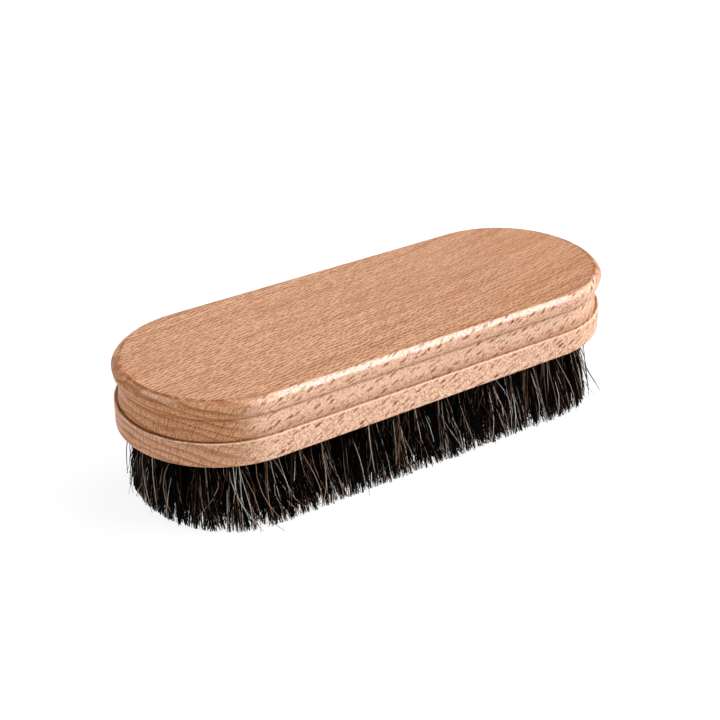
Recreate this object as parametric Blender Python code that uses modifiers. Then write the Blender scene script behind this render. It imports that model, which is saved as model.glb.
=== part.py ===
"""Leather cleaning brush: a moulded beech block with machine-set horsehair tufts.

Metres, +Z up, +X along the brush. The brush stands on its bristle tips at z = 0, with the origin
under the middle of the block.

The block is one stadium-shaped piece: two half-round ends joined by a straight run. Its edge is
moulded all round, from the top down: a small round-over, a bead, a quirk where the bead meets a
cove, the cove, a narrow ledge, and a plain band. The hair is set in crosswise rows. Each row's
tufts are fused to the slice of backing that they are stapled to, and the slices lie side by side
in a shallow pocket of the block, flush with its underside.
"""

import math
import random

import bmesh
import bpy

MM = 0.001

# Block
BLOCK_LENGTH = 135.0 * MM
BLOCK_WIDTH = 50.0 * MM
BLOCK_HEIGHT = 16.3 * MM

# Moulded edge, insets measured from the block's widest outline and depths from its top face
TOP_ROUND_INSET = 2.2 * MM
TOP_ROUND_DEPTH = 1.6 * MM
QUIRK_INSET = 1.35 * MM
QUIRK_DEPTH = 4.7 * MM
LEDGE_WIDTH = 0.9 * MM
BAND_HEIGHT = 6.15 * MM
LEDGE_EASE = 0.15 * MM
FOOT_ROUND = 0.5 * MM

# Pocket in the underside, and the slices of backing that fill it
RIM_WIDTH = 3.5 * MM
SLICE_THICKNESS = 2.0 * MM
FIT_GAP = 0.3 * MM

# Tufts
HAIR_LENGTH = 18.0 * MM
TUFT_PITCH = 7.0 * MM
RING_PITCH = 6.2 * MM
TUFT_EDGE = 2.7 * MM
TUFT_LEAN = 1.3 * MM
TUFT_ROOT_RADIUS = 1.15 * MM
TUFT_TIP_RADIUS = 1.85 * MM
HAIR_ROOT_RADIUS = 0.72 * MM
HAIR_TIP_RADIUS = 0.5 * MM
HAIR_ROOT_DEPTH = 1.0 * MM
HAIR_EDGE = 0.1 * MM
TIP_CUT = 0.5 * MM
TIP_RAGGED = 1.6 * MM

STRANDS_PER_TUFT = 4
STRAND_SIDES = 3
END_SLICE_SHARES = (0.19, 0.48, 0.815)

# Fineness of the curved surfaces
END_STEPS = 30
MOULDING_STEPS = 4
BEAD_TURN = math.radians(65.0)
CREASE_ANGLE = math.radians(28.0)
MERGE_DISTANCE = 0.003 * MM
SEED = 7

# Derived places
HALF_WIDTH = BLOCK_WIDTH / 2
STRAIGHT_HALF = BLOCK_LENGTH / 2 - HALF_WIDTH
UNDERSIDE_Z = HAIR_LENGTH
TOP_Z = UNDERSIDE_Z + BLOCK_HEIGHT
QUIRK_Z = TOP_Z - QUIRK_DEPTH
LEDGE_Z = UNDERSIDE_Z + BAND_HEIGHT
POCKET_RADIUS = HALF_WIDTH - RIM_WIDTH
SLICE_RADIUS = POCKET_RADIUS - FIT_GAP
TUFT_RADIUS = SLICE_RADIUS - TUFT_EDGE


def clear_objects():
    """Remove every object that the scene starts with."""
    for item in list(bpy.data.objects):
        bpy.data.objects.remove(item, do_unlink=True)


def new_collection(name):
    """Make a collection under the scene's own."""
    group = bpy.data.collections.new(name)
    bpy.context.scene.collection.children.link(group)
    return group


def plain_material(name, colour, roughness):
    """Make a non-metal Principled material of one colour."""
    material = bpy.data.materials.new(name)
    material.use_nodes = True
    shader = material.node_tree.nodes["Principled BSDF"]
    shader.inputs["Base Color"].default_value = (*colour, 1.0)
    shader.inputs["Roughness"].default_value = roughness
    shader.inputs["Metallic"].default_value = 0.0
    return material


def new_object(name, mesh, collection, material=None):
    """Put a mesh in a collection as an object."""
    item = bpy.data.objects.new(name, mesh)
    collection.objects.link(item)
    if material:
        mesh.materials.append(material)
    return item


def quarter_steps(count):
    """Angles from 0 to a quarter turn."""
    return [math.pi / 2 * step / count for step in range(count + 1)]


def underside_profile():
    """Distances from the centre line, and heights: the pocket, the rim and the round of the foot."""
    pocket_z = UNDERSIDE_Z + SLICE_THICKNESS + FIT_GAP
    points = [(0.0, pocket_z), (POCKET_RADIUS, pocket_z), (POCKET_RADIUS, UNDERSIDE_Z)]
    for angle in quarter_steps(MOULDING_STEPS):
        reach = HALF_WIDTH - FOOT_ROUND * (1 - math.sin(angle))
        points.append((reach, UNDERSIDE_Z + FOOT_ROUND * (1 - math.cos(angle))))
    return points


def cove_profile():
    """The ledge's eased corner, the ledge, and the cove that rises from it to the quirk."""
    points = [(HALF_WIDTH, LEDGE_Z - LEDGE_EASE), (HALF_WIDTH - LEDGE_EASE, LEDGE_Z)]
    for step in range(MOULDING_STEPS + 1):
        fall = 1 - step / MOULDING_STEPS
        inset = QUIRK_INSET + (LEDGE_WIDTH - QUIRK_INSET) * fall**2
        points.append((HALF_WIDTH - inset, QUIRK_Z + (LEDGE_Z - QUIRK_Z) * fall))
    return points


def bead_profile():
    """The bead above the quirk, the round-over, and the top face to the centre line."""
    points = []
    for step in range(MOULDING_STEPS - 1, 0, -1):
        angle = BEAD_TURN * step / MOULDING_STEPS
        inset = QUIRK_INSET * (1 - math.cos(angle)) / (1 - math.cos(BEAD_TURN))
        drop = (QUIRK_DEPTH - TOP_ROUND_DEPTH) * math.sin(angle) / math.sin(BEAD_TURN)
        points.append((HALF_WIDTH - inset, TOP_Z - TOP_ROUND_DEPTH - drop))
    for angle in quarter_steps(MOULDING_STEPS):
        reach = HALF_WIDTH - TOP_ROUND_INSET * (1 - math.cos(angle))
        points.append((reach, TOP_Z - TOP_ROUND_DEPTH * (1 - math.sin(angle))))
    points.append((0.0, TOP_Z))
    return points


def make_block(collection, material):
    """Spin the moulding round one end, draw it to the middle, and mirror it to the other end."""
    shape = bmesh.new()
    profile = underside_profile() + cove_profile() + bead_profile()
    rail = [shape.verts.new((STRAIGHT_HALF, -reach, height)) for reach, height in profile]
    edges = [shape.edges.new(pair) for pair in zip(rail, rail[1:])]
    turned = bmesh.ops.spin(shape, geom=rail + edges, cent=(STRAIGHT_HALF, 0.0, 0.0), axis=(0.0, 0.0, 1.0),
                            dvec=(0.0, 0.0, 0.0), angle=math.pi, steps=END_STEPS, use_duplicate=False)
    last = [item for item in turned["geom_last"] if isinstance(item, bmesh.types.BMEdge)]
    drawn = bmesh.ops.extrude_edge_only(shape, edges=edges + last)
    moved = [item for item in drawn["geom"] if isinstance(item, bmesh.types.BMVert)]
    bmesh.ops.translate(shape, verts=moved, vec=(-STRAIGHT_HALF, 0.0, 0.0))
    bmesh.ops.remove_doubles(shape, verts=shape.verts, dist=MERGE_DISTANCE)
    bmesh.ops.recalc_face_normals(shape, faces=shape.faces)
    mesh = bpy.data.meshes.new("handle_block")
    shape.to_mesh(mesh)
    shape.free()
    mesh.shade_smooth()
    mesh.set_sharp_from_angle(angle=CREASE_ANGLE)
    block = new_object("handle_block", mesh, collection, material)
    mirror = block.modifiers.new("other end", "MIRROR")
    mirror.use_axis = (True, False, False)
    mirror.merge_threshold = MERGE_DISTANCE
    return block


def half_width_at(x, radius):
    """Half the width, at x, of the stadium that runs at this radius round the centre line."""
    beyond = max(abs(x) - STRAIGHT_HALF, 0.0)
    return math.sqrt(max(radius**2 - beyond**2, 0.0))


def slice_spans():
    """The places along X where each slice starts and ends, from -X to +X."""
    count = max(1, round(2 * STRAIGHT_HALF / TUFT_PITCH))
    pitch = 2 * STRAIGHT_HALF / count
    ends = [STRAIGHT_HALF + TUFT_RADIUS * share for share in END_SLICE_SHARES]
    tip = STRAIGHT_HALF + SLICE_RADIUS
    inner = [-STRAIGHT_HALF + pitch * (step + 1 / 2) for step in range(count)]
    cuts = [-end for end in reversed(ends)] + inner + ends
    lows = [-tip] + [cut + FIT_GAP / 2 for cut in cuts]
    highs = [cut - FIT_GAP / 2 for cut in cuts] + [tip]
    return list(zip(lows, highs))


def slice_outline(span):
    """The outline of one slice of backing, round where it follows the ends of the block."""
    low, high = span
    stations = [low, high]
    for step in range(END_STEPS // 2 + 1):
        x = STRAIGHT_HALF + SLICE_RADIUS * math.sin(math.pi * step / END_STEPS)
        stations += [place for place in (-x, x) if low + FIT_GAP < place < high - FIT_GAP]
    near = [(x, -half_width_at(x, SLICE_RADIUS)) for x in sorted(stations)]
    far = [(x, -y) for x, y in reversed(near) if y < 0.0]
    return near + far


def make_slice(name, span):
    """Extrude a slice's outline to its thickness, as a closed mesh."""
    flat = bpy.data.curves.new(name, "CURVE")
    flat.dimensions = "2D"
    flat.fill_mode = "BOTH"
    flat.extrude = SLICE_THICKNESS / 2
    outline = slice_outline(span)
    spline = flat.splines.new("POLY")
    spline.points.add(len(outline) - 1)
    for point, (x, y) in zip(spline.points, outline):
        point.co = (x, y, 0.0, 1.0)
    spline.use_cyclic_u = True
    carrier = bpy.data.objects.new(name, flat)
    bpy.context.scene.collection.objects.link(carrier)
    carrier.location.z = UNDERSIDE_Z + SLICE_THICKNESS / 2
    bpy.context.view_layer.update()
    evaluated = carrier.evaluated_get(bpy.context.evaluated_depsgraph_get())
    mesh = bpy.data.meshes.new_from_object(evaluated)
    mesh.transform(carrier.matrix_world)
    bpy.data.objects.remove(carrier, do_unlink=True)
    bpy.data.curves.remove(flat)
    shape = bmesh.new()
    shape.from_mesh(mesh)
    bmesh.ops.remove_doubles(shape, verts=shape.verts, dist=MERGE_DISTANCE)
    bmesh.ops.recalc_face_normals(shape, faces=shape.faces)
    shape.to_mesh(mesh)
    shape.free()
    return mesh


def straight_tufts():
    """Tufts of the straight run: every second column has one tuft fewer, so the columns stagger."""
    count = max(1, round(2 * STRAIGHT_HALF / TUFT_PITCH))
    pitch = 2 * STRAIGHT_HALF / count
    across = 2 * max(1, round(TUFT_RADIUS / RING_PITCH))
    tufts = []
    for column in range(count + 1):
        gaps = across - column % 2
        x = -STRAIGHT_HALF + pitch * column
        tufts += [(x, TUFT_RADIUS * (2 * row / gaps - 1)) for row in range(gaps + 1)]
    return tufts


def end_tufts():
    """Tufts of the round ends, on rings about the end of the straight run."""
    rings = max(1, round(TUFT_RADIUS / RING_PITCH))
    tufts = []
    for ring in range(1, rings + 1):
        radius = TUFT_RADIUS * ring / rings
        gaps = max(2, round(math.pi * radius / TUFT_PITCH))
        for step in range(1, gaps):
            angle = math.pi * step / gaps - math.pi / 2
            out = STRAIGHT_HALF + radius * math.cos(angle)
            along = radius * math.sin(angle)
            tufts += [(out, along), (-out, along)]
    return tufts


def inside_slice(x, y, span):
    """Draw a hair's root in until all of it stands on its own slice."""
    margin = HAIR_ROOT_RADIUS + HAIR_EDGE
    x = min(max(x, span[0] + margin), span[1] - margin)
    reach = half_width_at(x, SLICE_RADIUS - margin)
    return x, min(max(y, -reach), reach)


def add_strand(shape, root, tip, turn):
    """One tapered hair: a small cone laid upright, then sheared so that both ends stay level."""
    top = UNDERSIDE_Z + HAIR_ROOT_DEPTH
    made = bmesh.ops.create_cone(shape, cap_ends=True, segments=STRAND_SIDES, radius1=HAIR_TIP_RADIUS,
                                 radius2=HAIR_ROOT_RADIUS, depth=top - tip[2])
    middle = (top + tip[2]) / 2
    for vert in made["verts"]:
        lower = vert.co.z < 0.0
        x, y = vert.co.x, vert.co.y
        place = tip if lower else root
        vert.co.x = place[0] + x * math.cos(turn) - y * math.sin(turn)
        vert.co.y = place[1] + x * math.sin(turn) + y * math.cos(turn)
        vert.co.z += middle


def add_tuft(shape, centre, span, source):
    """The hairs of one tuft: they spread from their hole, and lean out from the centre line."""
    core = min(max(centre[0], -STRAIGHT_HALF), STRAIGHT_HALF)
    lean = TUFT_LEAN / TUFT_RADIUS
    start = source.uniform(0.0, 2 * math.pi)
    for strand in range(STRANDS_PER_TUFT):
        angle = start + 2 * math.pi * strand / STRANDS_PER_TUFT
        root_x = centre[0] + TUFT_ROOT_RADIUS * math.cos(angle)
        root_y = centre[1] + TUFT_ROOT_RADIUS * math.sin(angle)
        root = inside_slice(root_x, root_y, span)
        tip_x = centre[0] + lean * (centre[0] - core) + TUFT_TIP_RADIUS * math.cos(angle)
        tip_y = centre[1] * (1 + lean) + TUFT_TIP_RADIUS * math.sin(angle)
        tip_z = max(source.uniform(-TIP_CUT, TIP_RAGGED), 0.0) if strand else 0.0
        add_strand(shape, root, (tip_x, tip_y, tip_z), angle)


def make_row(number, span, tufts, groups, material):
    """One crosswise row: its slice of backing, with the hairs of its tufts fused to it."""
    name = f"tuft_row_{number:02d}"
    source = random.Random(SEED + number)
    shape = bmesh.new()
    for centre in tufts:
        add_tuft(shape, centre, span, source)
    bmesh.ops.recalc_face_normals(shape, faces=shape.faces)
    hair_mesh = bpy.data.meshes.new(f"{name}_hair")
    shape.to_mesh(hair_mesh)
    shape.free()
    hair = new_object(f"{name}_hair", hair_mesh, groups["guides"])
    hair.hide_render = True
    hair.display_type = "WIRE"
    row = new_object(name, make_slice(name, span), groups["parts"], material)
    fuse = row.modifiers.new("fuse hair", "BOOLEAN")
    fuse.operation = "UNION"
    fuse.solver = "EXACT"
    fuse.object = hair
    return row


def make_rows(groups, material):
    """Give each slice the tufts whose centres lie over it."""
    tufts = straight_tufts() + end_tufts()
    for number, (low, high) in enumerate(slice_spans(), start=1):
        own = [centre for centre in tufts if low - FIT_GAP / 2 <= centre[0] < high + FIT_GAP / 2]
        make_row(number, (low, high), own, groups, material)


def main():
    clear_objects()
    groups = {"parts": new_collection("leather_cleaning_brush"), "guides": new_collection("guides")}
    beech = plain_material("varnished_beech", (0.60, 0.35, 0.20), 0.38)
    horsehair = plain_material("horsehair", (0.030, 0.022, 0.018), 0.55)
    make_block(groups["parts"], beech)
    make_rows(groups, horsehair)


main()
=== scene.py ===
"""Leather cleaning brush: a moulded, varnished beech block set with dark horsehair tufts.

Metres, +Z up, +X along the brush, standing on its bristle tips at z = 0. The block is one profile
carried round a stadium outline. Each crosswise row of tufts is one piece of fine tapered hairs.
"""

import math

import bmesh
import bpy
import numpy as np
from bpy.props import FloatProperty, FloatVectorProperty, IntProperty, PointerProperty
from bpy.types import Operator, Panel, PropertyGroup
from mathutils import Matrix, Vector


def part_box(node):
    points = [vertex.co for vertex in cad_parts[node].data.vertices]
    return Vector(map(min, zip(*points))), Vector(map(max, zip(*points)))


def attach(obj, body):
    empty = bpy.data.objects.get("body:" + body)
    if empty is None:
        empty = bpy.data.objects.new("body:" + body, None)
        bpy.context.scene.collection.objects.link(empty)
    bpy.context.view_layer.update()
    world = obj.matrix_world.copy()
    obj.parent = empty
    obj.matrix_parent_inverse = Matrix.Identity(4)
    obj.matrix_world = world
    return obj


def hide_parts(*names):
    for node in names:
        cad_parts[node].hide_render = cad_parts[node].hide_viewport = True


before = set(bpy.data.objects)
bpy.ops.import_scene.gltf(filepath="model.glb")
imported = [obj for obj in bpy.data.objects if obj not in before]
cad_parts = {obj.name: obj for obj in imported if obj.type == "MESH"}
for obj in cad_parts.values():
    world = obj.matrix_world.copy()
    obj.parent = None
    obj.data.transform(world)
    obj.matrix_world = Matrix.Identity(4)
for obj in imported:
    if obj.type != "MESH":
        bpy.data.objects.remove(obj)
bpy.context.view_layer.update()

bl_info = {
    "name": "Leather Cleaning Brush",
    "version": (1, 0, 0),
    "blender": (4, 5, 0),
    "location": "3D View > Sidebar > Brush",
    "description": "Builds a beech and horsehair leather cleaning brush",
    "category": "Object",
}

MM = 0.001
BLOCK_NODE = "handle_block"
ROW_NODES = sorted(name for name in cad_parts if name.startswith("tuft_row_"))

# The block's box and length, its outline's radius and half its straight run
BLOCK_LOW, BLOCK_HIGH = (np.array(corner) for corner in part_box(BLOCK_NODE))
LENGTH, WIDTH = (BLOCK_HIGH - BLOCK_LOW)[:2]
RADIUS = WIDTH / 2
RUN = (LENGTH - WIDTH) / 2

SEED = 20
BEAD_TURN = math.radians(68)
EASE = 0.16 * MM
HOLE_SIDES = 18
FLOOR_REACH = 1.5

# The log: how far its grain is turned from the brush's length, and where its pith lay
GRAIN_TURN = math.radians(12)
PITH = (0.0, 0.010, -0.025)
PITH_RADIUS = 0.058
RING_WIDTH = 1.9 * MM

# Shares of the way down a hair, the share that its hole hides, and how deep its root lies
HAIR_STEPS = np.array([0.0, 0.12, 0.28, 0.44, 0.60, 0.75, 0.89, 1.0])
HIDDEN_SHARE = 0.12
ROOT_DEPTH = 3.0 * MM

# Spreads of the hairs' random offsets
WISP_SCATTER = 0.20 * MM
WISP_BOW = 0.35 * MM
TIP_SCATTER = 0.32 * MM
WIDE_TIP_SCATTER = 0.65 * MM
END_SCATTER = 0.16 * MM
HAIR_BOW = 0.22 * MM
HAIR_WAVE = 0.16 * MM
STRAY_SCATTER = 2.0 * MM
STRAY_BOW = 1.5 * MM
STRAY_WAVE = 0.30 * MM
WILD_SCATTER = 2.2 * MM


def srgb(red, green, blue):
    """A display colour, 0 to 255, as the linear colour that a shader takes."""
    shares = np.array([red, green, blue]) / 255
    linear = np.where(shares <= 0.04045, shares / 12.92, ((shares + 0.055) / 1.055) ** 2.4)
    return tuple(float(value) for value in linear)


def size_prop(name, description, millimetres):
    """A length that a user may change."""
    return FloatProperty(name=name, description=description, default=millimetres * MM, unit="LENGTH")


def colour_prop(name, description, *shown):
    """A colour that a user may change, given as a display colour."""
    return FloatVectorProperty(name=name, description=description, default=srgb(*shown),
                               subtype="COLOR", min=0.0, max=1.0)


def share_prop(name, description, default):
    """A share of the hairs that a user may change."""
    return FloatProperty(name=name, description=description, default=default, subtype="FACTOR",
                         min=0.0, max=1.0)


class BlockSettings(PropertyGroup):
    """Sizes and colours of the beech block."""

    round_inset: size_prop("Round-over inset", "Width of the top edge's round-over", 2.0)
    round_depth: size_prop("Round-over depth", "Height of the top edge's round-over", 1.6)
    round_power: FloatProperty(name="Round-over power", description="1 makes a quarter ellipse, 2 a bevel",
                               default=1.42, min=1.0, max=2.0)
    quirk_inset: size_prop("Quirk inset", "How far the quirk lies inside the outline", 1.35)
    quirk_depth: size_prop("Quirk depth", "How far the quirk lies below the top", 4.7)
    ledge_width: size_prop("Ledge width", "Width of the ledge at the cove's foot", 0.9)
    band_height: size_prop("Band height", "Height of the plain band under the ledge", 6.15)
    foot_round: size_prop("Foot round", "Radius of the band's lower edge", 0.5)
    hole_radius: size_prop("Hole radius", "Radius of each tuft's drilled hole", 2.05)
    hole_depth: size_prop("Hole depth", "Depth of each tuft's drilled hole", 7.0)
    top_colour: colour_prop("Top colour", "Beech of the flat-sawn top", 207, 158, 123)
    side_colour: colour_prop("Side colour", "Beech of the long sides", 241, 192, 164)
    end_colour: colour_prop("End colour", "Beech of the end grain", 213, 158, 114)
    ray_colour: colour_prop("Ray colour", "Medullary rays and dark grain", 142, 76, 32)
    # Also colours the ledge's inner corner, partly burnish and partly painted shade, and the top's ray
    # dashes.
    burn_and_shade_colour: colour_prop("Burnish colour", "Cutter burnish in the moulding's corners", 110, 60, 30)


class HairSettings(PropertyGroup):
    """Sizes and counts of the horsehair tufts."""

    pitch: size_prop("Tuft pitch", "Spacing of the crosswise rows", 7.0)
    ring_pitch: size_prop("Ring pitch", "Spacing of the tufts across the brush", 6.2)
    edge: size_prop("Tuft inset", "From the block's outline to the outer tufts' centres", 6.5)
    flare: size_prop("Flare", "How far the outer tufts lean out at their tips", 2.3)
    lean_along: size_prop("Lean along", "How far use has set the tips along the brush", 0.7)
    lean_across: size_prop("Lean across", "How far use has set the tips across the brush", -0.8)
    spread: size_prop("Spread", "Radius of a tuft at its tips", 4.3)
    waist: size_prop("Waist", "Radius of a tuft where it leaves its hole", 1.75)
    thickness: size_prop("Hair thickness", "Width of one hair", 0.215)
    ragged: size_prop("Raggedness", "How unevenly the tips end", 0.14)
    hairs: IntProperty(name="Hairs", description="Hairs in each tuft", default=290, min=10)
    wisps: IntProperty(name="Wisps", description="Wisps that a tuft's hairs gather in", default=34, min=1)
    strays: share_prop("Strays", "Share of hairs that curve across the others", 0.14)
    reach: size_prop("Reach", "How far a hair may pass the block's outline", 0.9)
    stray_reach: size_prop("Stray reach", "How much further a stray may pass it", 3.0)
    wild: share_prop("Wild hairs", "Share of hairs that stand out at the sides", 0.008)


class StageSettings(PropertyGroup):
    """The camera's place and lens for the stage."""

    azimuth: FloatProperty(name="Azimuth", description="Camera's turn about the brush",
                           default=math.radians(-35.10), subtype="ANGLE")
    elevation: FloatProperty(name="Elevation", description="Camera's height above the horizon",
                             default=math.radians(28.02), subtype="ANGLE")
    lens: FloatProperty(name="Lens", description="Focal length in millimetres", default=77.44)
    distance: FloatProperty(name="Distance", description="Camera's distance in brush lengths", default=2.806)
    slide: FloatProperty(name="Slide", description="Camera's slide to its right in brush lengths",
                         default=-0.0179)
    lift: FloatProperty(name="Lift", description="Camera's lift in brush lengths", default=-0.1006)


def heading(angle):
    """The direction in the plan at an angle from +X."""
    return np.stack([np.cos(angle), np.sin(angle)], axis=-1)


def stadium(straight_steps, turn_steps):
    """Points of the core line and the outward directions of a stadium outline, once round.

    An outline point is a core point plus a radius times a direction. The core point runs along the
    straight stretch while the direction is constant, and stays at its end while the direction turns
    half a circle. The last two results are the straight run and the turn behind each point.
    """
    along = np.linspace(-RUN, RUN, straight_steps, endpoint=False)
    turn = np.linspace(-math.pi / 2, math.pi / 2, turn_steps, endpoint=False)
    level, still = np.full(straight_steps, math.pi / 2), np.full(turn_steps, RUN)
    core = np.concatenate([along, still, -along, -still])
    angle = np.concatenate([-level, turn, level, turn + math.pi])
    ran = np.concatenate([along + RUN, 2 * still, 3 * RUN + along, 4 * still])
    return core, heading(angle), ran, angle + math.pi / 2


def moulding(settings):
    """The block's half section from the underside's centre line to the top's, as rows of
    (radius, height, station).

    The station counts the section's parts: underside 0 to 1, foot round 1 to 2, band 2 to 3, eased
    edge 3 to 4, ledge 4 to 5, cove 5 to 6, bead 6 to 7, round-over 7 to 8 and flat top 8 to 9. The
    cove's inset follows a parabola, the bead an ellipse's arc, and the round-over an ellipse whose
    cosine and sine are raised to a power."""
    low, high = BLOCK_LOW[2], BLOCK_HIGH[2]
    foot, power = settings.foot_round, settings.round_power
    ledge = low + settings.band_height
    quirk = high - settings.quirk_depth
    quarter = math.pi / 2
    rows = [(RADIUS * share, low, share) for share in (0.0, 0.2, 0.4, 0.6, 0.8, 0.9)]
    for share in np.linspace(0.0, 1.0, 7):
        inset = foot * (1 - math.sin(quarter * share))
        rows.append((RADIUS - inset, low + foot * (1 - math.cos(quarter * share)), 1 + share))
    for share in np.linspace(0.1, 0.9, 9):
        rows.append((RADIUS, low + foot + (ledge - EASE - low - foot) * share, 2 + share))
    for share in np.linspace(0.0, 1.0, 5):
        inset = EASE * (1 - math.cos(quarter * share))
        rows.append((RADIUS - inset, ledge - EASE * (1 - math.sin(quarter * share)), 3 + share))
    for share in (0.35, 0.65, 0.85, 0.95):
        rows.append((RADIUS - EASE + (EASE - settings.ledge_width) * share, ledge, 4 + share))
    for share in np.concatenate([[0.0, 0.03, 0.08], np.linspace(0.14, 1.0, 14)]):
        inset = settings.ledge_width + (settings.quirk_inset - settings.ledge_width) * (1 - (1 - share) ** 2)
        rows.append((RADIUS - inset, ledge + (quirk - ledge) * share, 5 + share))
    for share in np.linspace(0.0, 1.0, 14)[1:]:
        angle = BEAD_TURN * (1 - share)
        inset = settings.quirk_inset * (1 - math.cos(angle)) / (1 - math.cos(BEAD_TURN))
        drop = (settings.quirk_depth - settings.round_depth) * math.sin(angle) / math.sin(BEAD_TURN)
        rows.append((RADIUS - inset, high - settings.round_depth - drop, 6 + share))
    for share in np.linspace(0.0, 1.0, 21)[1:]:
        inset = settings.round_inset * (1 - max(math.cos(quarter * share), 0.0) ** power)
        drop = settings.round_depth * (1 - math.sin(quarter * share) ** power)
        rows.append((RADIUS - inset, high - drop, 7 + share))
    flat = RADIUS - settings.round_inset
    rows += [(flat * (1 - share), high, 8 + share) for share in (0.015, 0.07, 0.2, 0.4, 0.6, 0.8, 1.0)]
    return np.array(rows)


def grid_faces(around, across):
    """Corner numbers of a grid's quads, closed round its first direction, facing out."""
    start = np.arange(around)[:, None]
    first = start * across + np.arange(across - 1)
    following = (start + 1) % around * across + np.arange(across - 1)
    return np.stack([first, following, following + 1, first + 1], axis=-1).reshape(-1, 4)


def mesh_from_arrays(name, points, faces):
    """Make a mesh. The points' last axis holds coordinates, and the faces have equally many sides."""
    mesh = bpy.data.meshes.new(name)
    count, sides = faces.shape
    mesh.vertices.add(points.size // 3)
    mesh.vertices.foreach_set("co", points.astype(np.float32).ravel())
    mesh.loops.add(count * sides)
    mesh.loops.foreach_set("vertex_index", faces.astype(np.int32).ravel())
    mesh.polygons.add(count)
    mesh.polygons.foreach_set("loop_start", np.arange(0, count * sides, sides, dtype=np.int32))
    mesh.update(calc_edges=True)
    mesh.validate()
    return mesh


def add_object(name, data):
    """Put a mesh, a lamp or a camera in the scene."""
    added = bpy.data.objects.new(name, data)
    bpy.context.scene.collection.objects.link(added)
    return added


def add_attribute(mesh, name, values):
    """Store one number for each point of a mesh."""
    layer = mesh.attributes.new(name, "FLOAT", "POINT")
    layer.data.foreach_set("value", np.asarray(values, dtype=np.float32).ravel())


def block_mesh(settings):
    """The moulding carried round the stadium: position = core + radius * direction, at its height.

    The UV map holds the way round the outline and the way up the section, both in metres.
    """
    core, direction, ran, turned = stadium(48, 96)
    section = moulding(settings)
    around, across = len(core), len(section)
    points = np.zeros((around, across, 3))
    points[:, :, 0] = core[:, None] + section[:, 0] * direction[:, :1]
    points[:, :, 1] = section[:, 0] * direction[:, 1:]
    points[:, :, 2] = section[:, 1]
    faces = grid_faces(around, across)
    mesh = mesh_from_arrays("beech_block", points, faces)
    way_up = np.concatenate([[0.0], np.cumsum(np.hypot(*np.diff(section[:, :2], axis=0).T))])
    way_round = ran + turned * RADIUS
    total = 4 * RUN + 2 * math.pi * RADIUS
    column = faces // across
    past_seam = (column == 0) & (column.max(axis=1, keepdims=True) == around - 1)
    wrapped = np.where(past_seam, total, way_round[column])
    places = np.stack([wrapped, way_up[faces % across]], axis=-1)
    layer = mesh.uv_layers.new(name="surface")
    layer.data.foreach_set("uv", places.astype(np.float32).ravel())
    add_attribute(mesh, "station", np.tile(section[:, 2], around))
    return mesh


def close_mesh(mesh):
    """Merge the doubled points along the centre lines, and turn the faces out."""
    shape = bmesh.new()
    shape.from_mesh(mesh)
    bmesh.ops.remove_doubles(shape, verts=shape.verts, dist=0.002 * MM)
    bmesh.ops.recalc_face_normals(shape, faces=shape.faces)
    shape.to_mesh(mesh)
    shape.free()


def tuft_layout(settings):
    """Centres of the tufts' holes. On the straight run they stand in columns, every second column
    with one tuft fewer. On the round ends they stand on rings about the run's end."""
    outer = RADIUS - settings.edge
    count = max(1, round(2 * RUN / settings.pitch))
    across = 2 * max(1, round(outer / settings.ring_pitch))
    centres = []
    for column in range(count + 1):
        gaps = across - column % 2
        x = -RUN + 2 * RUN * column / count
        centres += [(x, outer * (2 * row / gaps - 1)) for row in range(gaps + 1)]
    for ring in range(1, across // 2 + 1):
        reach = outer * ring / (across // 2)
        gaps = max(2, round(math.pi * reach / settings.pitch))
        for step in range(1, gaps):
            angle = math.pi * step / gaps - math.pi / 2
            out, along = RUN + reach * math.cos(angle), reach * math.sin(angle)
            centres += [(out, along), (-out, along)]
    return np.array(centres)


def hole_cutter(settings, centres):
    """One mesh of upright cylinders, a drill's path for each tuft. At each of its two heights it has
    a circle of points and its middle."""
    sides, count = HOLE_SIDES, len(centres)
    angle = np.arange(sides) * 2 * math.pi / sides
    circle = settings.hole_radius * heading(angle)
    heights = np.array([BLOCK_LOW[2] - 1.0 * MM, BLOCK_LOW[2] + settings.hole_depth])
    points = np.zeros((count, 2, sides + 1, 3))
    points[:, :, :sides, :2] = centres[:, None, None, :] + circle
    points[:, :, sides, :2] = centres[:, None, :]
    points[..., 2] = heights[:, None]
    here, beside = np.arange(sides), (np.arange(sides) + 1) % sides
    above, middle = sides + 1, np.full(sides, sides)
    corners = ((here, beside, beside + above), (here, beside + above, here + above),
               (beside, here, middle), (here + above, beside + above, middle + above))
    one = np.concatenate([np.stack(three, axis=1) for three in corners])
    faces = (np.arange(count)[:, None, None] * 2 * (sides + 1) + one).reshape(-1, 3)
    return add_object("drill_paths", mesh_from_arrays("drill_paths", points, faces))


def drill(block, cutter):
    """Cut the holes, and keep the result as the block's own mesh."""
    cut = block.modifiers.new("holes", "BOOLEAN")
    cut.operation = "DIFFERENCE"
    cut.solver = "EXACT"
    cut.object = cutter
    bpy.context.view_layer.update()
    evaluated = block.evaluated_get(bpy.context.evaluated_depsgraph_get())
    mesh = bpy.data.meshes.new_from_object(evaluated)
    block.modifiers.clear()
    old = block.data
    block.data = mesh
    bpy.data.meshes.remove(old)
    bpy.data.objects.remove(cutter, do_unlink=True)


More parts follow.
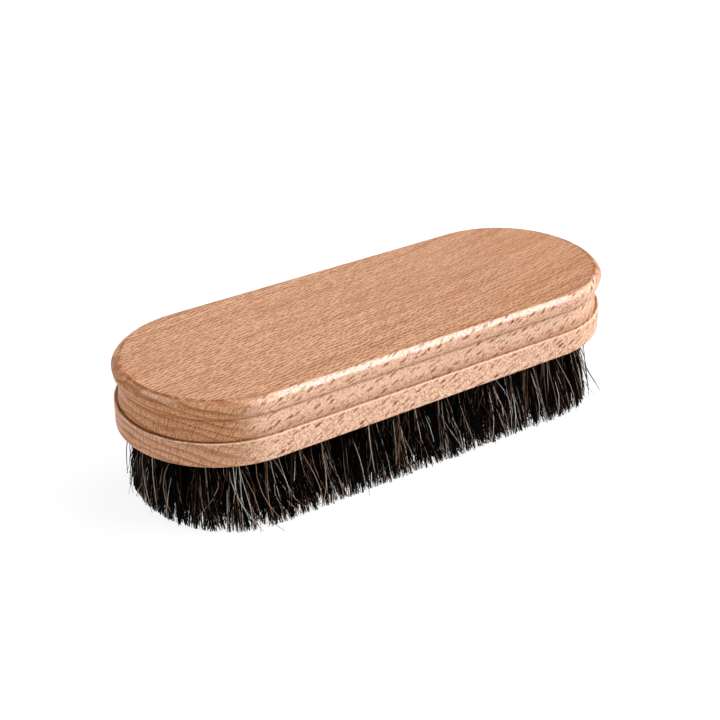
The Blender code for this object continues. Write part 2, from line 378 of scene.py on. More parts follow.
class NodeBuilder:
    """Adds nodes to a tree, links their inputs, and spreads them out in columns."""

    def __init__(self, tree):
        self.tree = tree
        self.made = 0

    def fill(self, socket, value):
        """Give an input a value, or link another node's output to it."""
        if isinstance(value, bpy.types.NodeSocket):
            self.tree.links.new(value, socket)
        else:
            socket.default_value = value

    def add(self, kind, inputs=None, **settings):
        """Make one shader node. Each input is a value or another node's output."""
        node = self.tree.nodes.new("ShaderNode" + kind)
        node.location = (self.made % 12 * 200, -(self.made // 12) * 260)
        self.made += 1
        for key, value in settings.items():
            setattr(node, key, value)
        for key, value in (inputs or {}).items():
            self.fill(node.inputs[key], value)
        return node

    def one(self, kind, inputs=None, output=0, **settings):
        """Make one shader node, and give one of its outputs."""
        return self.add(kind, inputs, **settings).outputs[output]

    def math(self, operation, first, second=0.0):
        """A Math node's output."""
        return self.one("Math", {0: first, 1: second}, operation=operation)

    def times(self, first, second):
        """The product of two values."""
        return self.math("MULTIPLY", first, second)

    def line(self, value, slope, start):
        """A value times a slope, plus a start."""
        return self.math("ADD", self.times(value, slope), start)

    def vector(self, operation, first, second=(0.0, 0.0, 0.0), output=0):
        """A Vector Math node's output."""
        return self.one("VectorMath", {0: first, 1: second}, output, operation=operation)

    def split(self, vector):
        """A vector's three coordinates."""
        return self.add("SeparateXYZ", {0: vector}).outputs

    def join(self, first, second, third=0.0):
        """A vector made of three coordinates."""
        return self.one("CombineXYZ", {0: first, 1: second, 2: third})

    def step(self, value, low, high):
        """A smooth step: 0 at low, 1 at high. A low above high turns it round."""
        return self.one("MapRange", {"Value": value, "From Min": low, "From Max": high}, "Result",
                        interpolation_type="SMOOTHSTEP")

    def ridge(self, value, low, first, last, high):
        """A smooth rise from low to first, a plateau, and a smooth fall from last to high."""
        return self.times(self.step(value, low, first), self.step(value, high, last))

    def moved(self, vector, scale=(1.0, 1.0, 1.0), turn=0.0, shift=(0.0, 0.0, 0.0)):
        """A vector turned about Z by some degrees, scaled to repeats a metre, and shifted."""
        if turn:
            rotation = (0.0, 0.0, math.radians(turn))
            vector = self.one("Mapping", {"Vector": vector, "Rotation": rotation})
        return self.one("Mapping", {"Vector": vector, "Scale": scale, "Location": shift})

    def noise(self, vector, scale, detail, rough=0.5, **place):
        """A Noise Texture's value, with a scale for each axis."""
        vector = self.moved(vector, scale, **place)
        return self.one("TexNoise", {"Vector": vector, "Scale": 1.0, "Detail": detail, "Roughness": rough})

    def warped(self, vector, scale, amount):
        """A vector moved by a noise of that many repeats a metre, by up to half the amount."""
        noise = self.one("TexNoise", {"Vector": vector, "Scale": scale, "Detail": 1.0}, "Color")
        inputs = {0: self.vector("SUBTRACT", noise, (0.5, 0.5, 0.5)), 1: (amount, amount, amount), 2: vector}
        return self.one("VectorMath", inputs, operation="MULTIPLY_ADD")

    def mix(self, share, first, second):
        """Two colours mixed by a share. Each is a node's output or a linear colour."""
        node = self.add("Mix", {0: share}, data_type="RGBA")
        for key, colour in ((6, first), (7, second)):
            linked = isinstance(colour, bpy.types.NodeSocket)
            self.fill(node.inputs[key], colour if linked else (*colour, 1.0))
        return node.outputs[2]

    def layers(self, base, layers):
        """Colours laid over a base one after another, each with its mask and its strength."""
        for mask, strength, colour in layers:
            base = self.mix(self.times(mask, strength), base, colour)
        return base

    def finish(self, kind, shader):
        """Link the shader to the output node of a material or a world."""
        self.fill(self.add(kind).inputs["Surface"], shader)


def new_material(name, builder=NodeBuilder):
    """An empty material and the builder of its nodes."""
    material = bpy.data.materials.new(name)
    material.use_nodes = True
    material.node_tree.nodes.clear()
    return material, builder(material.node_tree)


def new_group(name, inputs, outputs):
    """Make a shader node group. Its inputs and its outputs are each given as two lists of names,
    the vectors' and the numbers'. Returns its builder and its inputs."""
    group = bpy.data.node_groups.new(name, "ShaderNodeTree")
    for in_out, (vectors, numbers) in (("INPUT", inputs), ("OUTPUT", outputs)):
        for label in vectors + numbers:
            kind = "NodeSocketVector" if label in vectors else "NodeSocketFloat"
            group.interface.new_socket(name=label, in_out=in_out, socket_type=kind)
    return NodeBuilder(group), group.nodes.new("NodeGroupInput").outputs


def finish_group(build, values):
    """Link a group's results to its outputs."""
    end = build.tree.nodes.new("NodeGroupOutput")
    for label, value in values.items():
        build.fill(end.inputs[label], value)
    return build.tree


def spindle_group():
    """Dark spindles, as medullary rays show on a cut face: 0 between them and 0.5 to 1 on one.

    One spindle lies in each cell of a jittered lattice. It fills the points whose distance from its
    middle across its thin way is less than 1 minus the squares of those along its two long ways,
    each counted in its own half size."""
    build, given = new_group("ray spindles", (("Vector", "Cell", "Half"), ("Fill", "Edge", "Scatter")),
                             ((), ("Mask",)))
    place = build.vector("DIVIDE", given["Vector"], given["Cell"])
    inputs = {"Vector": place, "Scale": 1.0, "Randomness": given["Scatter"]}
    lattice = build.add("TexVoronoi", inputs).outputs
    away = build.vector("MULTIPLY", build.vector("SUBTRACT", place, lattice["Position"]), given["Cell"])
    parts = build.split(build.vector("DIVIDE", away, given["Half"]))
    squares = build.math("ADD", build.times(parts[0], parts[0]), build.times(parts[2], parts[2]))
    inside = build.math("SUBTRACT", build.math("SUBTRACT", 1.0, squares), build.math("ABSOLUTE", parts[1]))
    chance = build.one("SeparateColor", {0: lattice["Color"]})
    chosen = build.math("LESS_THAN", chance, given["Fill"])
    mask = build.times(build.step(inside, 0.0, given["Edge"]), chosen)
    return finish_group(build, {"Mask": build.times(mask, build.line(chance, 0.5, 0.5))})


def log_group():
    """Where a point lay in the log: along the grain, round the pith and out from it, in metres. The
    way round is the angle about the pith times a fixed radius, so its scale is true at the top."""
    build, given = new_group("place in the log", (("Vector", "Turn", "Pith"), ("Radius",)),
                             (("Vector",), ("Out",)))
    turned = build.one("VectorRotate", {"Vector": given["Vector"], "Rotation": given["Turn"]},
                       rotation_type="EULER_XYZ")
    parts = build.split(build.vector("SUBTRACT", turned, given["Pith"]))
    out = build.vector("LENGTH", build.join(0.0, parts[1], parts[2]), output="Value")
    way_round = build.times(build.math("ARCTAN2", parts[1], parts[2]), given["Radius"])
    return finish_group(build, {"Vector": build.join(parts[0], way_round, out), "Out": out})


def ring_group():
    """Growth rings: each starts pale, darkens slowly and ends in a thin dark line. Their spacing
    wanders, and the line is stronger in some rings."""
    build, given = new_group("growth rings", (("Vector",), ("Out", "Width")), ((), ("Line", "Late")))
    wander = build.noise(given["Vector"], (6.0, 45.0, 160.0), 2.0)
    bent = build.math("ADD", given["Out"], build.times(wander, 5.0 * MM))
    count = build.math("DIVIDE", bent, given["Width"])
    share = build.math("FRACT", count)
    own = build.one("TexWhiteNoise", {"W": build.math("FLOOR", count)}, noise_dimensions="1D")
    line = build.times(build.ridge(share, 0.55, 0.86, 0.93, 1.0), build.line(own, 0.75, 0.25))
    return finish_group(build, {"Line": line, "Late": build.step(share, 0.1, 0.95)})


def end_share(build, parts):
    """How much end grain the outline shows at a point, from 0 where the side runs with the grain to
    1 where it crosses it squarely."""
    nearest = build.math("MINIMUM", build.math("MAXIMUM", parts[0], -RUN), RUN)
    outward = build.vector("NORMALIZE", build.join(build.math("SUBTRACT", parts[0], nearest), parts[1]))
    grain = (math.cos(GRAIN_TURN), math.sin(GRAIN_TURN), 0.0)
    return build.math("ABSOLUTE", build.vector("DOT_PRODUCT", outward, grain, output="Value"))


def lighter(colour, gain=1.3, lift=0.10):
    """A colour times a gain, plus a lift."""
    return tuple(min(1.0, value * gain + lift) for value in colour)


class BeechBuilder(NodeBuilder):
    """Holds what the wood's surfaces share, each a node's output: where a point lies, how much end
    grain shows, the log's streaks and fibres, and stipple."""

    def __init__(self, tree):
        super().__init__(tree)
        self.spindles = spindle_group()
        self.place = self.one("TexCoord", output="Object")
        self.parts = self.split(self.place)
        self.skin = self.one("UVMap", uv_map="surface")
        self.station = self.one("Attribute", output="Fac", attribute_name="station")
        turn = (0.0, 0.0, -GRAIN_TURN)
        inputs = {"Vector": self.place, "Turn": turn, "Pith": PITH, "Radius": PITH_RADIUS}
        self.log, self.out = self.add("Group", inputs, node_tree=log_group()).outputs
        self.end = self.step(end_share(self, self.parts), 0.28, 0.66)
        self.streak = self.noise(self.log, (16.0, 330.0, 90.0), 4.0, 0.6)
        self.fibre = self.noise(self.log, (420.0, 2800.0, 5.0), 0.0)
        self.stipple = self.noise(self.place, (2700.0, 2700.0, 2700.0), 1.0, 0.6, shift=(0.3, 5.0, 1.0))
        self.soaked = self.noise(self.place, (420.0, 420.0, 420.0), 3.0, 0.7, shift=(2.0, 0.0, 4.0))
        self.dark_stipple = self.step(self.stipple, 0.51, 0.62)
        self.pale_stipple = self.step(self.stipple, 0.49, 0.38)

    def rays(self, vector, cell, half, fill=0.85, edge=0.5, scatter=0.8, aside=0.0):
        """A ray pattern. Its cell, its half sizes and how far it lies aside are in millimetres."""
        if aside:
            vector = self.moved(vector, shift=(0.0, aside * MM, 0.0))
        cell, half = (tuple(size * MM for size in sizes) for sizes in (cell, half))
        inputs = {"Vector": vector, "Cell": cell, "Half": half,
                  "Fill": fill, "Edge": edge, "Scatter": scatter}
        return self.one("Group", inputs, node_tree=self.spindles)


def top_tone(wood, settings):
    """The flat top: streaks, threads and growth lines along the grain, and rays as short dark dashes
    with pale flanks, painted highlights beside them. The dashes are stronger toward the left and the
    streaks toward the right.
    Returns the colour and the dashes."""
    dark, pale = settings.ray_colour, lighter(settings.top_colour, 1.14, 0.065)
    left = wood.step(wood.parts[0], 0.060, -0.015)
    vivid = wood.line(left, 0.5, 0.55)
    drawn = wood.moved(wood.log, turn=3.5)
    uneven = wood.warped(drawn, 700.0, 0.18 * MM)
    cell, kind = (1.8, 1.0, 400.0), (1.0, 0.3, 0.60)
    dashes = wood.times(wood.rays(uneven, cell, (0.80, 0.15, 800.0), *kind), vivid)
    # Pale flanks offset beside the dashes: painted highlights.
    flanks = wood.rays(uneven, cell, (0.75, 0.20, 800.0), *kind, aside=0.42)
    elsewhere = wood.moved(drawn, shift=(0.0213, 0.0117, 0.0091))
    faint = wood.rays(elsewhere, (1.5, 0.8, 400.0), (0.62, 0.12, 800.0), 1.0, 0.3, 0.55)
    thread = wood.noise(wood.log, (28.0, 1150.0, 60.0), 2.0, shift=(1.7, 0.2, 2.0))
    growth = wood.noise(wood.moved(wood.log, turn=8.5), (13.0, 470.0, 60.0), 3.0, 0.65,
                        shift=(0.7, 0.1, 0.4))
    return wood.layers(settings.top_colour, (
        (wood.step(wood.streak, 0.38, 0.7), wood.line(left, -0.30, 0.38), dark),
        (wood.line(left, -0.12, 0.12), 1.0, dark),
        (wood.step(wood.fibre, 0.51, 0.63), wood.times(vivid, 0.30), dark),
        (wood.step(wood.fibre, 0.49, 0.37), wood.times(vivid, 0.45), pale),
        (wood.step(thread, 0.56, 0.68), wood.line(left, -0.12, 0.36), dark),
        (wood.step(growth, 0.46, 0.66), wood.times(left, 0.30), dark),
        (faint, 0.60, dark),
        # Painted highlights beside the dashes.
        (flanks, wood.times(vivid, 0.58), pale),
        (dashes, 1.0, settings.burn_and_shade_colour))), dashes


def side_tone(wood, settings):
    """The long sides: stippled, with small specks and slanted rust flecks that have pale flanks,
    painted highlights beside them. The cove is a little paler, and darker at its foot."""
    dark, pale = settings.ray_colour, lighter(settings.side_colour)
    rust = tuple(value * share for value, share in zip(dark, (0.90, 0.68, 0.40)))
    slanted = wood.warped(wood.moved(wood.skin, turn=-25.0), 550.0, 0.9 * MM)
    fleck_size = ((3.3, 2.0, 50.0), (1.40, 0.43, 60.0))
    speck_place = wood.moved(wood.skin, turn=-21.0, shift=(0.013, 0.021, 0.0))
    worn = wood.line(wood.step(wood.soaked, 0.40, 0.60), 0.42, 0.68)
    return wood.layers(settings.side_colour, (
        (wood.dark_stipple, 0.36, dark),
        (wood.pale_stipple, 0.66, pale),
        (wood.ridge(wood.station, 5.15, 5.4, 5.8, 5.95), 0.15, pale),
        (wood.rays(speck_place, (1.7, 1.1, 50.0), (0.55, 0.19, 60.0)), 0.60, dark),
        # Pale flanks beside the flecks: painted highlights.
        (wood.rays(slanted, *fleck_size, aside=0.7), 0.2, pale),
        (wood.rays(slanted, *fleck_size), worn, rust),
        (wood.ridge(wood.station, 4.9, 5.02, 5.1, 5.6), 0.32, dark)))


def end_tone(wood, settings):
    """The end grain: paler on the band, with stipple, growth rings and upright rays."""
    dark = settings.ray_colour
    inputs = {"Vector": wood.log, "Out": wood.out, "Width": RING_WIDTH}
    ring_line, late_wood = wood.add("Group", inputs, node_tree=ring_group()).outputs
    uneven = wood.warped(wood.log, 300.0, 0.4 * MM)
    upright = wood.rays(uneven, (60.0, 1.2, 5.0), (60.0, 0.22, 3.0), edge=0.9)
    return wood.layers(settings.end_colour, (
        (wood.step(wood.station, 3.5, 2.9), 0.42, settings.side_colour),
        (wood.dark_stipple, 0.45, dark),
        (wood.pale_stipple, 0.50, settings.side_colour),
        (late_wood, 0.30, dark),
        (ring_line, 0.58, dark),
        (upright, 1.0, dark)))


def moulding_tone(wood, settings, colour):
    """What lies on every side of the moulding: a darker arris, with a broad band at the ends that is
    darker end grain and painted shade of the round-over; broad clouds; a thin darker line over the
    bead; painted shade in the quirk; a corner at the ledge darkened by the cutter's burnish and by
    painted shade; and a pale, worn crest on its edge, partly a painted highlight."""
    dark, end, station = settings.ray_colour, wood.end, wood.station
    # The arris: a thin darker line, and at the ends a broad band of darker end grain and painted shade of
    # the round-over.
    arris = wood.math("ADD", wood.times(wood.ridge(station, 7.66, 7.84, 8.004, 8.014), 0.32),
                      wood.times(wood.ridge(station, 7.22, 7.62, 8.004, 8.022), wood.times(end, 0.55)))
    cloud = wood.noise(wood.place, (18.0, 60.0, 60.0), 2.0, shift=(3.1, 0.4, 0.0))
    ragged = wood.line(wood.stipple, 1.1, 0.35)
    # The ledge's inner corner, stronger at the ends: the cutter's burnish and painted shade.
    corner = wood.times(wood.ridge(station, 4.1, 4.8, 5.01, 5.06), wood.line(end, 0.4, 0.5))
    # Noise that breaks the crest's painted highlight into crumbs at the ends.
    crest_highlight_crumbs = wood.times(end, wood.line(wood.step(wood.soaked, 0.46, 0.58), 0.75, -0.45))
    return wood.layers(colour, (
        (arris, wood.step(wood.soaked, 0.64, 0.40), dark),
        (wood.step(cloud, 0.4, 0.7), 0.10, dark),
        (wood.ridge(station, 6.98, 7.08, 7.12, 7.26), 0.14, dark),
        # Painted shade in the quirk's groove.
        (wood.ridge(station, 5.86, 5.98, 6.02, 6.14), 0.5, dark),
        (corner, ragged, settings.burn_and_shade_colour),
        # The band's top edge: a pale crest of worn wood and a painted highlight along the edge.
        (wood.ridge(station, 2.96, 3.1, 4.0, 4.25), wood.math("ADD", ragged, crest_highlight_crumbs),
         lighter(settings.side_colour))))


def varnish_coat(wood):
    """The gloss: little but on the rim, where brush lines fray it. At the ends it has soaked in on
    the far side, and in patches on the near one."""
    rim = wood.ridge(wood.station, 7.16, 7.40, 7.62, 7.80)
    brushed = wood.noise(wood.skin, (130.0, 1500.0, 1.0), 2.0, shift=(0.0, 2.0, 0.5))
    fray = wood.math("ADD", wood.times(brushed, 0.85), wood.times(wood.stipple, 0.15))
    coat = wood.line(wood.step(wood.math("ADD", rim, fray), 0.92, 1.47), 0.50, 0.02)
    dry = wood.math("MAXIMUM", wood.step(wood.soaked, 0.46, 0.56), wood.step(wood.parts[1], -0.008, 0.004))
    return wood.times(coat, wood.line(wood.times(wood.end, dry), -0.88, 1.0))


def beech_material(settings):
    """Varnished beech with a flat-sawn top. The log's rays are short dashes on the top and upright
    lines at the ends, where growth rings show too. The long sides are pinker, with slanted flecks."""
    material, wood = new_material("varnished_beech", BeechBuilder)
    top, dashes = top_tone(wood, settings)
    flat = wood.math("ADD", wood.step(wood.station, 7.66, 7.84), wood.step(wood.station, 1.1, 0.95))
    colour = wood.mix(wood.end, side_tone(wood, settings), end_tone(wood, settings))
    colour = moulding_tone(wood, settings, wood.mix(flat, colour, top))
    relief = wood.math("SUBTRACT", wood.times(wood.math("ADD", wood.fibre, wood.stipple), 0.5),
                       wood.times(dashes, 0.1))
    bump = wood.one("Bump", {"Height": relief, "Strength": 0.25, "Distance": 0.06 * MM})
    rough = wood.line(wood.step(wood.streak, 0.3, 0.7), 0.10, 0.30)
    wood.finish("OutputMaterial", wood.one("BsdfPrincipled", {
        "Base Color": colour, "Roughness": rough, "Normal": bump,
        "Coat Weight": varnish_coat(wood), "Coat Roughness": 0.12, "Coat IOR": 1.65,
        "Specular IOR Level": 0.03}))
    return material


def hair_material():
    """Horsehair: nearly black, with brown, tan and grey hairs among it, and darker down in the tuft
    near the roots, with painted shade.
    """
    material, build = new_material("horsehair")
    tone = build.one("Attribute", output="Fac", attribute_name="tone")
    along = build.one("Attribute", output="Fac", attribute_name="along")
    ramp = build.add("ValToRGB", {"Fac": tone})
    elements = ramp.color_ramp.elements
    elements.remove(elements[1])
    elements[0].color = (0.0006, 0.0005, 0.0005, 1.0)
    elements.new(0.69).color = (0.0016, 0.0011, 0.0010, 1.0)
    for share, shown in ((0.76, (52, 34, 26)), (0.82, (106, 73, 54)), (0.87, (150, 111, 85)),
                         (0.92, (196, 163, 137)), (0.96, (214, 201, 190)), (1.0, (246, 241, 236))):
        elements.new(share).color = (*srgb(*shown), 1.0)
    bands = build.noise(build.one("TexCoord", output="Object"), (300.0, 300.0, 120.0), 2.0)
    colour = build.layers(ramp.outputs[0], (
        (build.step(bands, 0.62, 0.35), 0.36, (0.0030, 0.0025, 0.0025)),
        # Painted shade on the hairs near their roots, under the block.
        (build.step(along, 0.32, 0.1), 0.5, (0.0020, 0.0018, 0.0018))))
    build.finish("OutputMaterial", build.one("BsdfPrincipled", {
        "Base Color": colour, "Roughness": build.line(bands, 0.2, 0.48), "Specular IOR Level": 0.03}))
    return material


def held_in(side, reach, late):
    """Points held near the block's outline. A point's distance from the core line counts in full up
    to 2 mm inside the outline, and from there it nears its limit as one minus an exponential. At
    the two ends both lie further in, by a length times the square of the direction's cosine. At
    the +X end that length grows just below the roots, which stay in their holes, and shrinks again
    with the cube of the way down."""
    margin = 2.0 * MM
    core = np.stack([np.clip(side[..., 0], -RUN, RUN), np.zeros(side.shape[:-1])], axis=-1)
    away = side - core
    far = np.maximum(np.linalg.norm(away, axis=-1), 1e-9)
    cosine = away[..., 0] / far
    rooted = np.maximum(1 - late / 0.3, 0.0) ** 2
    drawn_in = np.where(cosine > 0, 8.0 * (1 - 0.45 * late ** 3) - 4.6 * rooted, 3.4) * MM * cosine ** 2
    free = RADIUS - margin - drawn_in
    room = reach + margin - 0.25 * drawn_in
    past = np.maximum(far - free, 0.0)
    held = np.where(far > free, free + room * (1 - np.exp(-past / room)), far)
    return core + away * (held / far)[..., None]


def tuft_wisps(settings, outward, draw):
    """The wisps that the hairs of some tufts gather in: each one's side of its tuft, and its tip,
    bow, end height and power, by tuft and wisp.

    Their ends lie on a sunflower's spiral: each is a golden angle further round than the one
    before, as far out as the square root of its share of their number. The spiral is stretched to
    a rounded square, the sixth-power curve, that faces out of the block, so neighbours close up."""
    tufts = len(outward)
    order = np.arange(settings.wisps) + draw.uniform(0.0, 1.0, (tufts, 1))
    turn = order * math.pi * (3 - math.sqrt(5)) + draw.uniform(0.0, 2 * math.pi, (tufts, 1))
    square = (np.abs(np.cos(turn)) ** 6 + np.abs(np.sin(turn)) ** 6) ** (-1 / 6)
    facing = turn + np.arctan2(outward[:, 1], outward[:, 0])[:, None]
    spiral = np.sqrt(order / settings.wisps) * square
    side = heading(facing) * spiral[:, :, None]
    tip = side * settings.spread + draw.normal(0.0, WISP_SCATTER, side.shape)
    tip += np.array([settings.lean_along, settings.lean_across])
    bow = draw.normal(0.0, WISP_BOW, side.shape)
    end = np.abs(draw.normal(0.0, 1.0, (tufts, settings.wisps))) * settings.ragged
    return side, tip, bow, end, draw.uniform(1.0, 1.7, (tufts, settings.wisps))


def hair_paths(settings, centres, draw):
    """Centre lines of the hairs of some tufts, as an array of hair by point by coordinate.

    A hair starts in its hole on its wisp's side, and a loose one anywhere. The way from there to
    its tip grows with a power of the way down, and a half wave and a full wave bow it sideways.
    Strays end further off and bow more, wild hairs stand out at the sides, and some are short."""
    count = len(centres) * settings.hairs
    tuft = np.repeat(np.arange(len(centres)), settings.hairs)
    core = np.stack([np.clip(centres[:, 0], -RUN, RUN), np.zeros(len(centres))], axis=1)
    outward = (centres - core) / (RADIUS - settings.edge)
    wisp_side, wisp_tip, wisp_bow, wisp_end, wisp_power = tuft_wisps(settings, outward, draw)

    def scatter(spread):
        """A normally distributed offset in the plan for each hair."""
        return draw.normal(0.0, spread, (count, 2))

    own = (tuft, draw.integers(0, settings.wisps, count))
    loose = draw.uniform(0.0, 1.0, count)
    stray = loose < settings.strays
    wild = loose < settings.wild
    anywhere = heading(draw.uniform(0.0, 2 * math.pi, count))
    anywhere *= np.sqrt(draw.uniform(0.0, 1.0, count))[:, None]
    kept = np.where(loose < 0.35, 0.0, 0.7)[:, None]
    root = centres[tuft] + settings.waist * (wisp_side[own] * kept + anywhere * (1 - kept) * 0.95)
    tip = centres[tuft] + outward[tuft] * settings.flare + wisp_tip[own]
    tip += scatter(1.0) * np.where(loose < 0.25, WIDE_TIP_SCATTER, TIP_SCATTER)[:, None]
    tip += scatter(STRAY_SCATTER) * stray[:, None]
    tip += (outward[tuft] * WILD_SCATTER + scatter(WILD_SCATTER)) * wild[:, None]
    bottom = wisp_end[own] + np.abs(draw.normal(0.0, END_SCATTER, count))
    short = draw.uniform(0.0, 1.0, count) < 0.05
    bottom = bottom + short * draw.uniform(0.0, 4.5 * MM, count) + stray * draw.uniform(0.0, 2.0 * MM, count)
    bow = wisp_bow[own] + scatter(HAIR_BOW) + scatter(STRAY_BOW) * stray[:, None]
    wave = scatter(HAIR_WAVE) + scatter(STRAY_WAVE) * stray[:, None]
    late = np.maximum(HAIR_STEPS - HIDDEN_SHARE, 0.0) / (1 - HIDDEN_SHARE)
    power = wisp_power[own] + draw.uniform(0.0, 0.25, count) + 0.8 * wild
    share = late ** power[:, None]
    side = root[:, None, :] + (tip - root)[:, None, :] * share[:, :, None]
    side += bow[:, None, :] * np.sin(math.pi * late)[:, None]
    side += wave[:, None, :] * np.sin(2 * math.pi * late)[:, None]
    top = BLOCK_LOW[2] + ROOT_DEPTH
    height = top + (bottom - top)[:, None] * HAIR_STEPS
    reach = (settings.reach + settings.stray_reach * (0.6 * stray + wild))[:, None]
    return np.concatenate([held_in(side, reach, late), height[:, :, None]], axis=2), stray


def hair_mesh(name, settings, centres, draw):
    """Three-sided tubes round the hairs' centre lines, thinner at the tip, with a small end face. A
    ring's two axes are the line's direction crossed with X, and the direction crossed with that."""
    paths, stray = hair_paths(settings, centres, draw)
    hairs, rings = paths.shape[:2]
    forward = np.gradient(paths, axis=1)
    forward /= np.linalg.norm(forward, axis=2, keepdims=True)
    first = np.cross(forward, np.array([1.0, 0.0, 0.0]))
    first /= np.linalg.norm(first, axis=2, keepdims=True)
    second = np.cross(forward, first)
    tuft_tone = np.repeat(draw.normal(0.0, 0.02, len(centres)), settings.hairs)
    tone = draw.uniform(0.0, 1.0, hairs)
    tone = np.clip(np.where(stray, 1 - 0.6 * tone, tone) + tuft_tone, 0.0, 1.0)
    thick = settings.thickness / 2 * draw.uniform(0.75, 1.25, hairs) * np.where(tone < 0.7, 1.1, 0.85)
    size = thick[:, None] * (1.0 - 0.35 * HAIR_STEPS ** 6)
    start = draw.uniform(0.0, 2 * math.pi, hairs)
    corner = (start[:, None] + np.arange(3) * 2 * math.pi / 3)[:, None, :, None]
    ring = np.cos(corner) * first[:, :, None, :] + np.sin(corner) * second[:, :, None, :]
    points = paths[:, :, None, :] + ring * size[:, :, None, None]
    points[..., 2] = np.maximum(points[..., 2], 0.0)
    base = np.arange(hairs)[:, None, None] * rings * 3
    level = base + np.arange(rings - 1)[:, None] * 3
    here, beside = level + np.arange(3), level + (np.arange(3) + 1) % 3
    quads = np.stack([here, here + 3, beside + 3, beside], axis=-1).reshape(-1, 4)
    halves = np.concatenate([quads[:, [0, 1, 2]], quads[:, [0, 2, 3]]])
    start_caps = base[:, 0] + np.array([0, 1, 2])
    end_caps = base[:, 0] + (rings - 1) * 3 + np.array([2, 1, 0])
    mesh = mesh_from_arrays(name, points, np.concatenate([halves, start_caps, end_caps]))
    add_attribute(mesh, "tone", np.repeat(tone, rings * 3))
    add_attribute(mesh, "along", np.tile(np.repeat(HAIR_STEPS, 3), hairs))
    return mesh


def place_piece(name, mesh, material, node):
    """Put a finished mesh in the scene as a piece that stands for a CAD node."""
    mesh.materials.append(material)
    piece = add_object(name, mesh)
    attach(piece, "root")
    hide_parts(node)
    return piece


class BRUSH_OT_block(Operator):
    """Build the moulded beech block with its drilled holes"""

    bl_idname = "brush.block"
    bl_label = "Beech Block"

    def execute(self, context):
        settings, hair = context.scene.brush_block, context.scene.brush_hair
        mesh = block_mesh(settings)
        close_mesh(mesh)
        block = place_piece("beech_block", mesh, beech_material(settings), BLOCK_NODE)
        drill(block, hole_cutter(settings, tuft_layout(hair)))
        block.data.shade_smooth()
        block.data.set_sharp_from_angle(angle=math.radians(35))
        return {"FINISHED"}


class BRUSH_OT_tufts(Operator):
    """Build the horsehair, one piece for each crosswise row of tufts"""

    bl_idname = "brush.tufts"
    bl_label = "Horsehair Tufts"

    def execute(self, context):
        settings = context.scene.brush_hair
        material = hair_material()
        centres = tuft_layout(settings)
        middles = np.array([(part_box(node)[0][0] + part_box(node)[1][0]) / 2 for node in ROW_NODES])
        nearest = np.abs(centres[:, :1] - middles).argmin(axis=1)
        for number, node in enumerate(ROW_NODES):
            own = centres[nearest == number]
            if not len(own):
                raise RuntimeError(f"no tufts stand over {node}")
            mesh = hair_mesh(f"{node}_hair", settings, own, np.random.default_rng(SEED + number))
            mesh.shade_smooth()
            place_piece(f"{node}_hair", mesh, material, node)
        return {"FINISHED"}


def background_rays(build):
    """1 for the rays that show the background: the camera's, glossy ones and transmitted ones."""
    path = build.add("LightPath").outputs
    direct = build.math("MAXIMUM", path["Is Camera Ray"], path["Is Transmission Ray"])
    return build.math("MAXIMUM", direct, path["Is Glossy Ray"])


def floor_material():
    """A white floor that shows the shadow, and looks white to the camera."""
    material, build = new_material("studio_floor")
    matt = build.one("BsdfDiffuse", {"Color": (0.82, 0.82, 0.82, 1.0)})
    faint = build.one("BsdfDiffuse", {"Color": (0.22, 0.22, 0.22, 1.0)})
    glow = build.one("Emission", {"Color": (1.0, 1.0, 1.0, 1.0), "Strength": 0.87})
    shown = build.one("AddShader", {0: faint, 1: glow})
    build.finish("OutputMaterial", build.one("MixShader", {0: background_rays(build), 1: matt, 2: shown}))
    return material


def make_floor():
    """A wide flat floor at the bristle tips."""
    corners = FLOOR_REACH * np.array([(-1, -1, 0), (1, -1, 0), (1, 1, 0), (-1, 1, 0)])
    mesh = mesh_from_arrays("floor", corners, np.array([[0, 1, 2, 3]]))
    mesh.materials.append(floor_material())
    floor = add_object("floor", mesh)


def stood(middle, across, up, back):
    """The matrix that puts a lamp or a camera at a place, with its three axes turned as given."""
    return Matrix.Translation(middle) @ Matrix((across, up, back)).transposed().to_4x4()


def make_lamp(name, toward, distance, size, radiance):
    """An area lamp that looks at the brush from a direction. Its size is across and along the
    plane square to the brush's length, and its power is 4 times its radiance and area."""
    data = bpy.data.lights.new(name, "AREA")
    data.shape = "RECTANGLE"
    data.size, data.size_y = size
    data.energy = 4 * radiance * size[0] * size[1]
    lamp = add_object(name, data)
    way = Vector(toward).normalized()
    along = Vector((1.0, 0.0, 0.0)).cross(way).normalized()
    lamp.matrix_world = stood(Vector((0.0, 0.0, 0.03)) + way * distance, along.cross(way), along, way)
    return lamp


def make_world():
    """Even grey light, seen as white by the camera."""
    world = bpy.data.worlds.new("studio")
    world.use_nodes = True
    world.node_tree.nodes.clear()
    build = NodeBuilder(world.node_tree)
    level = build.line(background_rays(build), 0.84, 0.16)
    build.finish("OutputWorld", build.one("Background", {"Color": (1.0, 1.0, 1.0, 1.0), "Strength": level}))
    bpy.context.scene.world = world


def make_camera(settings):
    """The camera, as fitted to the photograph's outlines, about the middle of the flat top."""
    turn, rise = settings.azimuth, settings.elevation
    back = Vector((math.sin(turn) * math.cos(rise), -math.cos(turn) * math.cos(rise), math.sin(rise)))
    right = Vector((math.cos(turn), math.sin(turn), 0.0))
    up = back.cross(right)
    data = bpy.data.cameras.new("camera")
    data.lens = settings.lens
    data.clip_start = 0.01
    camera = add_object("camera", data)
    place = (back * settings.distance + right * settings.slide + up * settings.lift) * LENGTH
    camera.matrix_world = stood(Vector((0.0, 0.0, BLOCK_HIGH[2])) + place, right, up, back)
    bpy.context.scene.camera = camera


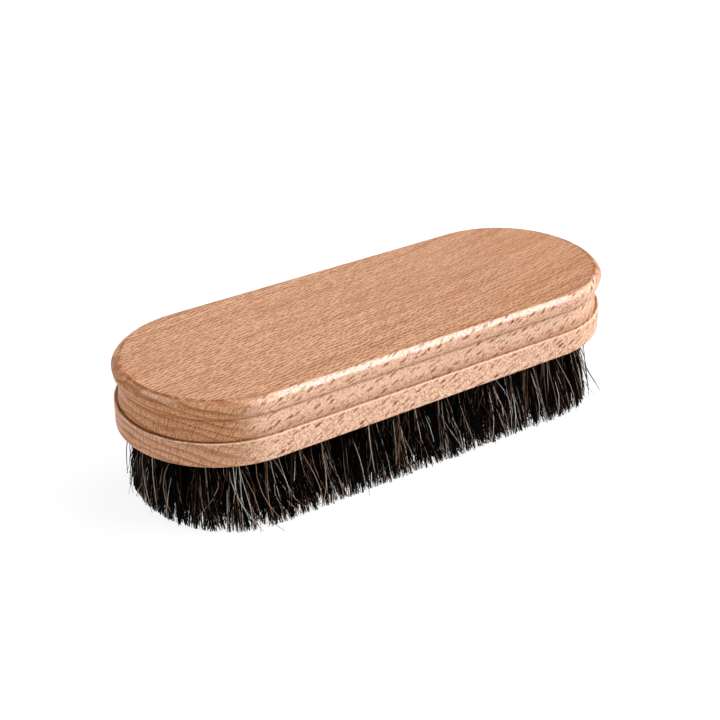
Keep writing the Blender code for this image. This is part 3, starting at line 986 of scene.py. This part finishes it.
class BRUSH_OT_stage(Operator):
    """Set up the floor, the lamps, the world and the camera"""

    bl_idname = "brush.stage"
    bl_label = "Studio Stage"

    def execute(self, context):
        context.scene.view_settings.view_transform = "Standard"
        make_floor()
        make_world()
        make_lamp("key", (0.56, -0.17, 0.81), 3.00, (0.85, 4.50), 6.3)
        make_lamp("front", (0.72, -0.56, 0.42), 2.00, (2.40, 2.40), 1.16)
        make_lamp("rear", (0.20, 0.90, 0.38), 2.00, (2.00, 2.00), 0.50)
        make_lamp("left", (-0.92, 0.04, 0.40), 2.00, (1.45, 1.45), 1.52)
        make_lamp("glint", (-0.44, 0.38, 0.81), 1.60, (0.85, 0.80), 3.3).visible_diffuse = False
        make_camera(context.scene.brush_stage)
        return {"FINISHED"}


class BRUSH_PT_panel(Panel):
    """The brush's settings and build steps"""

    bl_idname = "BRUSH_PT_panel"
    bl_label = "Leather Cleaning Brush"
    bl_space_type = "VIEW_3D"
    bl_region_type = "UI"
    bl_category = "Brush"

    def draw(self, context):
        scene = context.scene
        for group, operator in ((scene.brush_stage, "brush.stage"), (scene.brush_block, "brush.block"),
                                (scene.brush_hair, "brush.tufts")):
            column = self.layout.column(align=True)
            for name in group.__annotations__:
                column.prop(group, name)
            column.operator(operator)


CLASSES = (BlockSettings, HairSettings, StageSettings, BRUSH_OT_block, BRUSH_OT_tufts, BRUSH_OT_stage,
           BRUSH_PT_panel)


def register():
    for item in CLASSES:
        bpy.utils.register_class(item)
    bpy.types.Scene.brush_block = PointerProperty(type=BlockSettings)
    bpy.types.Scene.brush_hair = PointerProperty(type=HairSettings)
    bpy.types.Scene.brush_stage = PointerProperty(type=StageSettings)


def unregister():
    del bpy.types.Scene.brush_stage
    del bpy.types.Scene.brush_hair
    del bpy.types.Scene.brush_block
    for item in reversed(CLASSES):
        bpy.utils.unregister_class(item)


def main():
    register()
    bpy.ops.brush.stage()
    bpy.ops.brush.block()
    bpy.ops.brush.tufts()


if __name__ == "__main__":
    main()
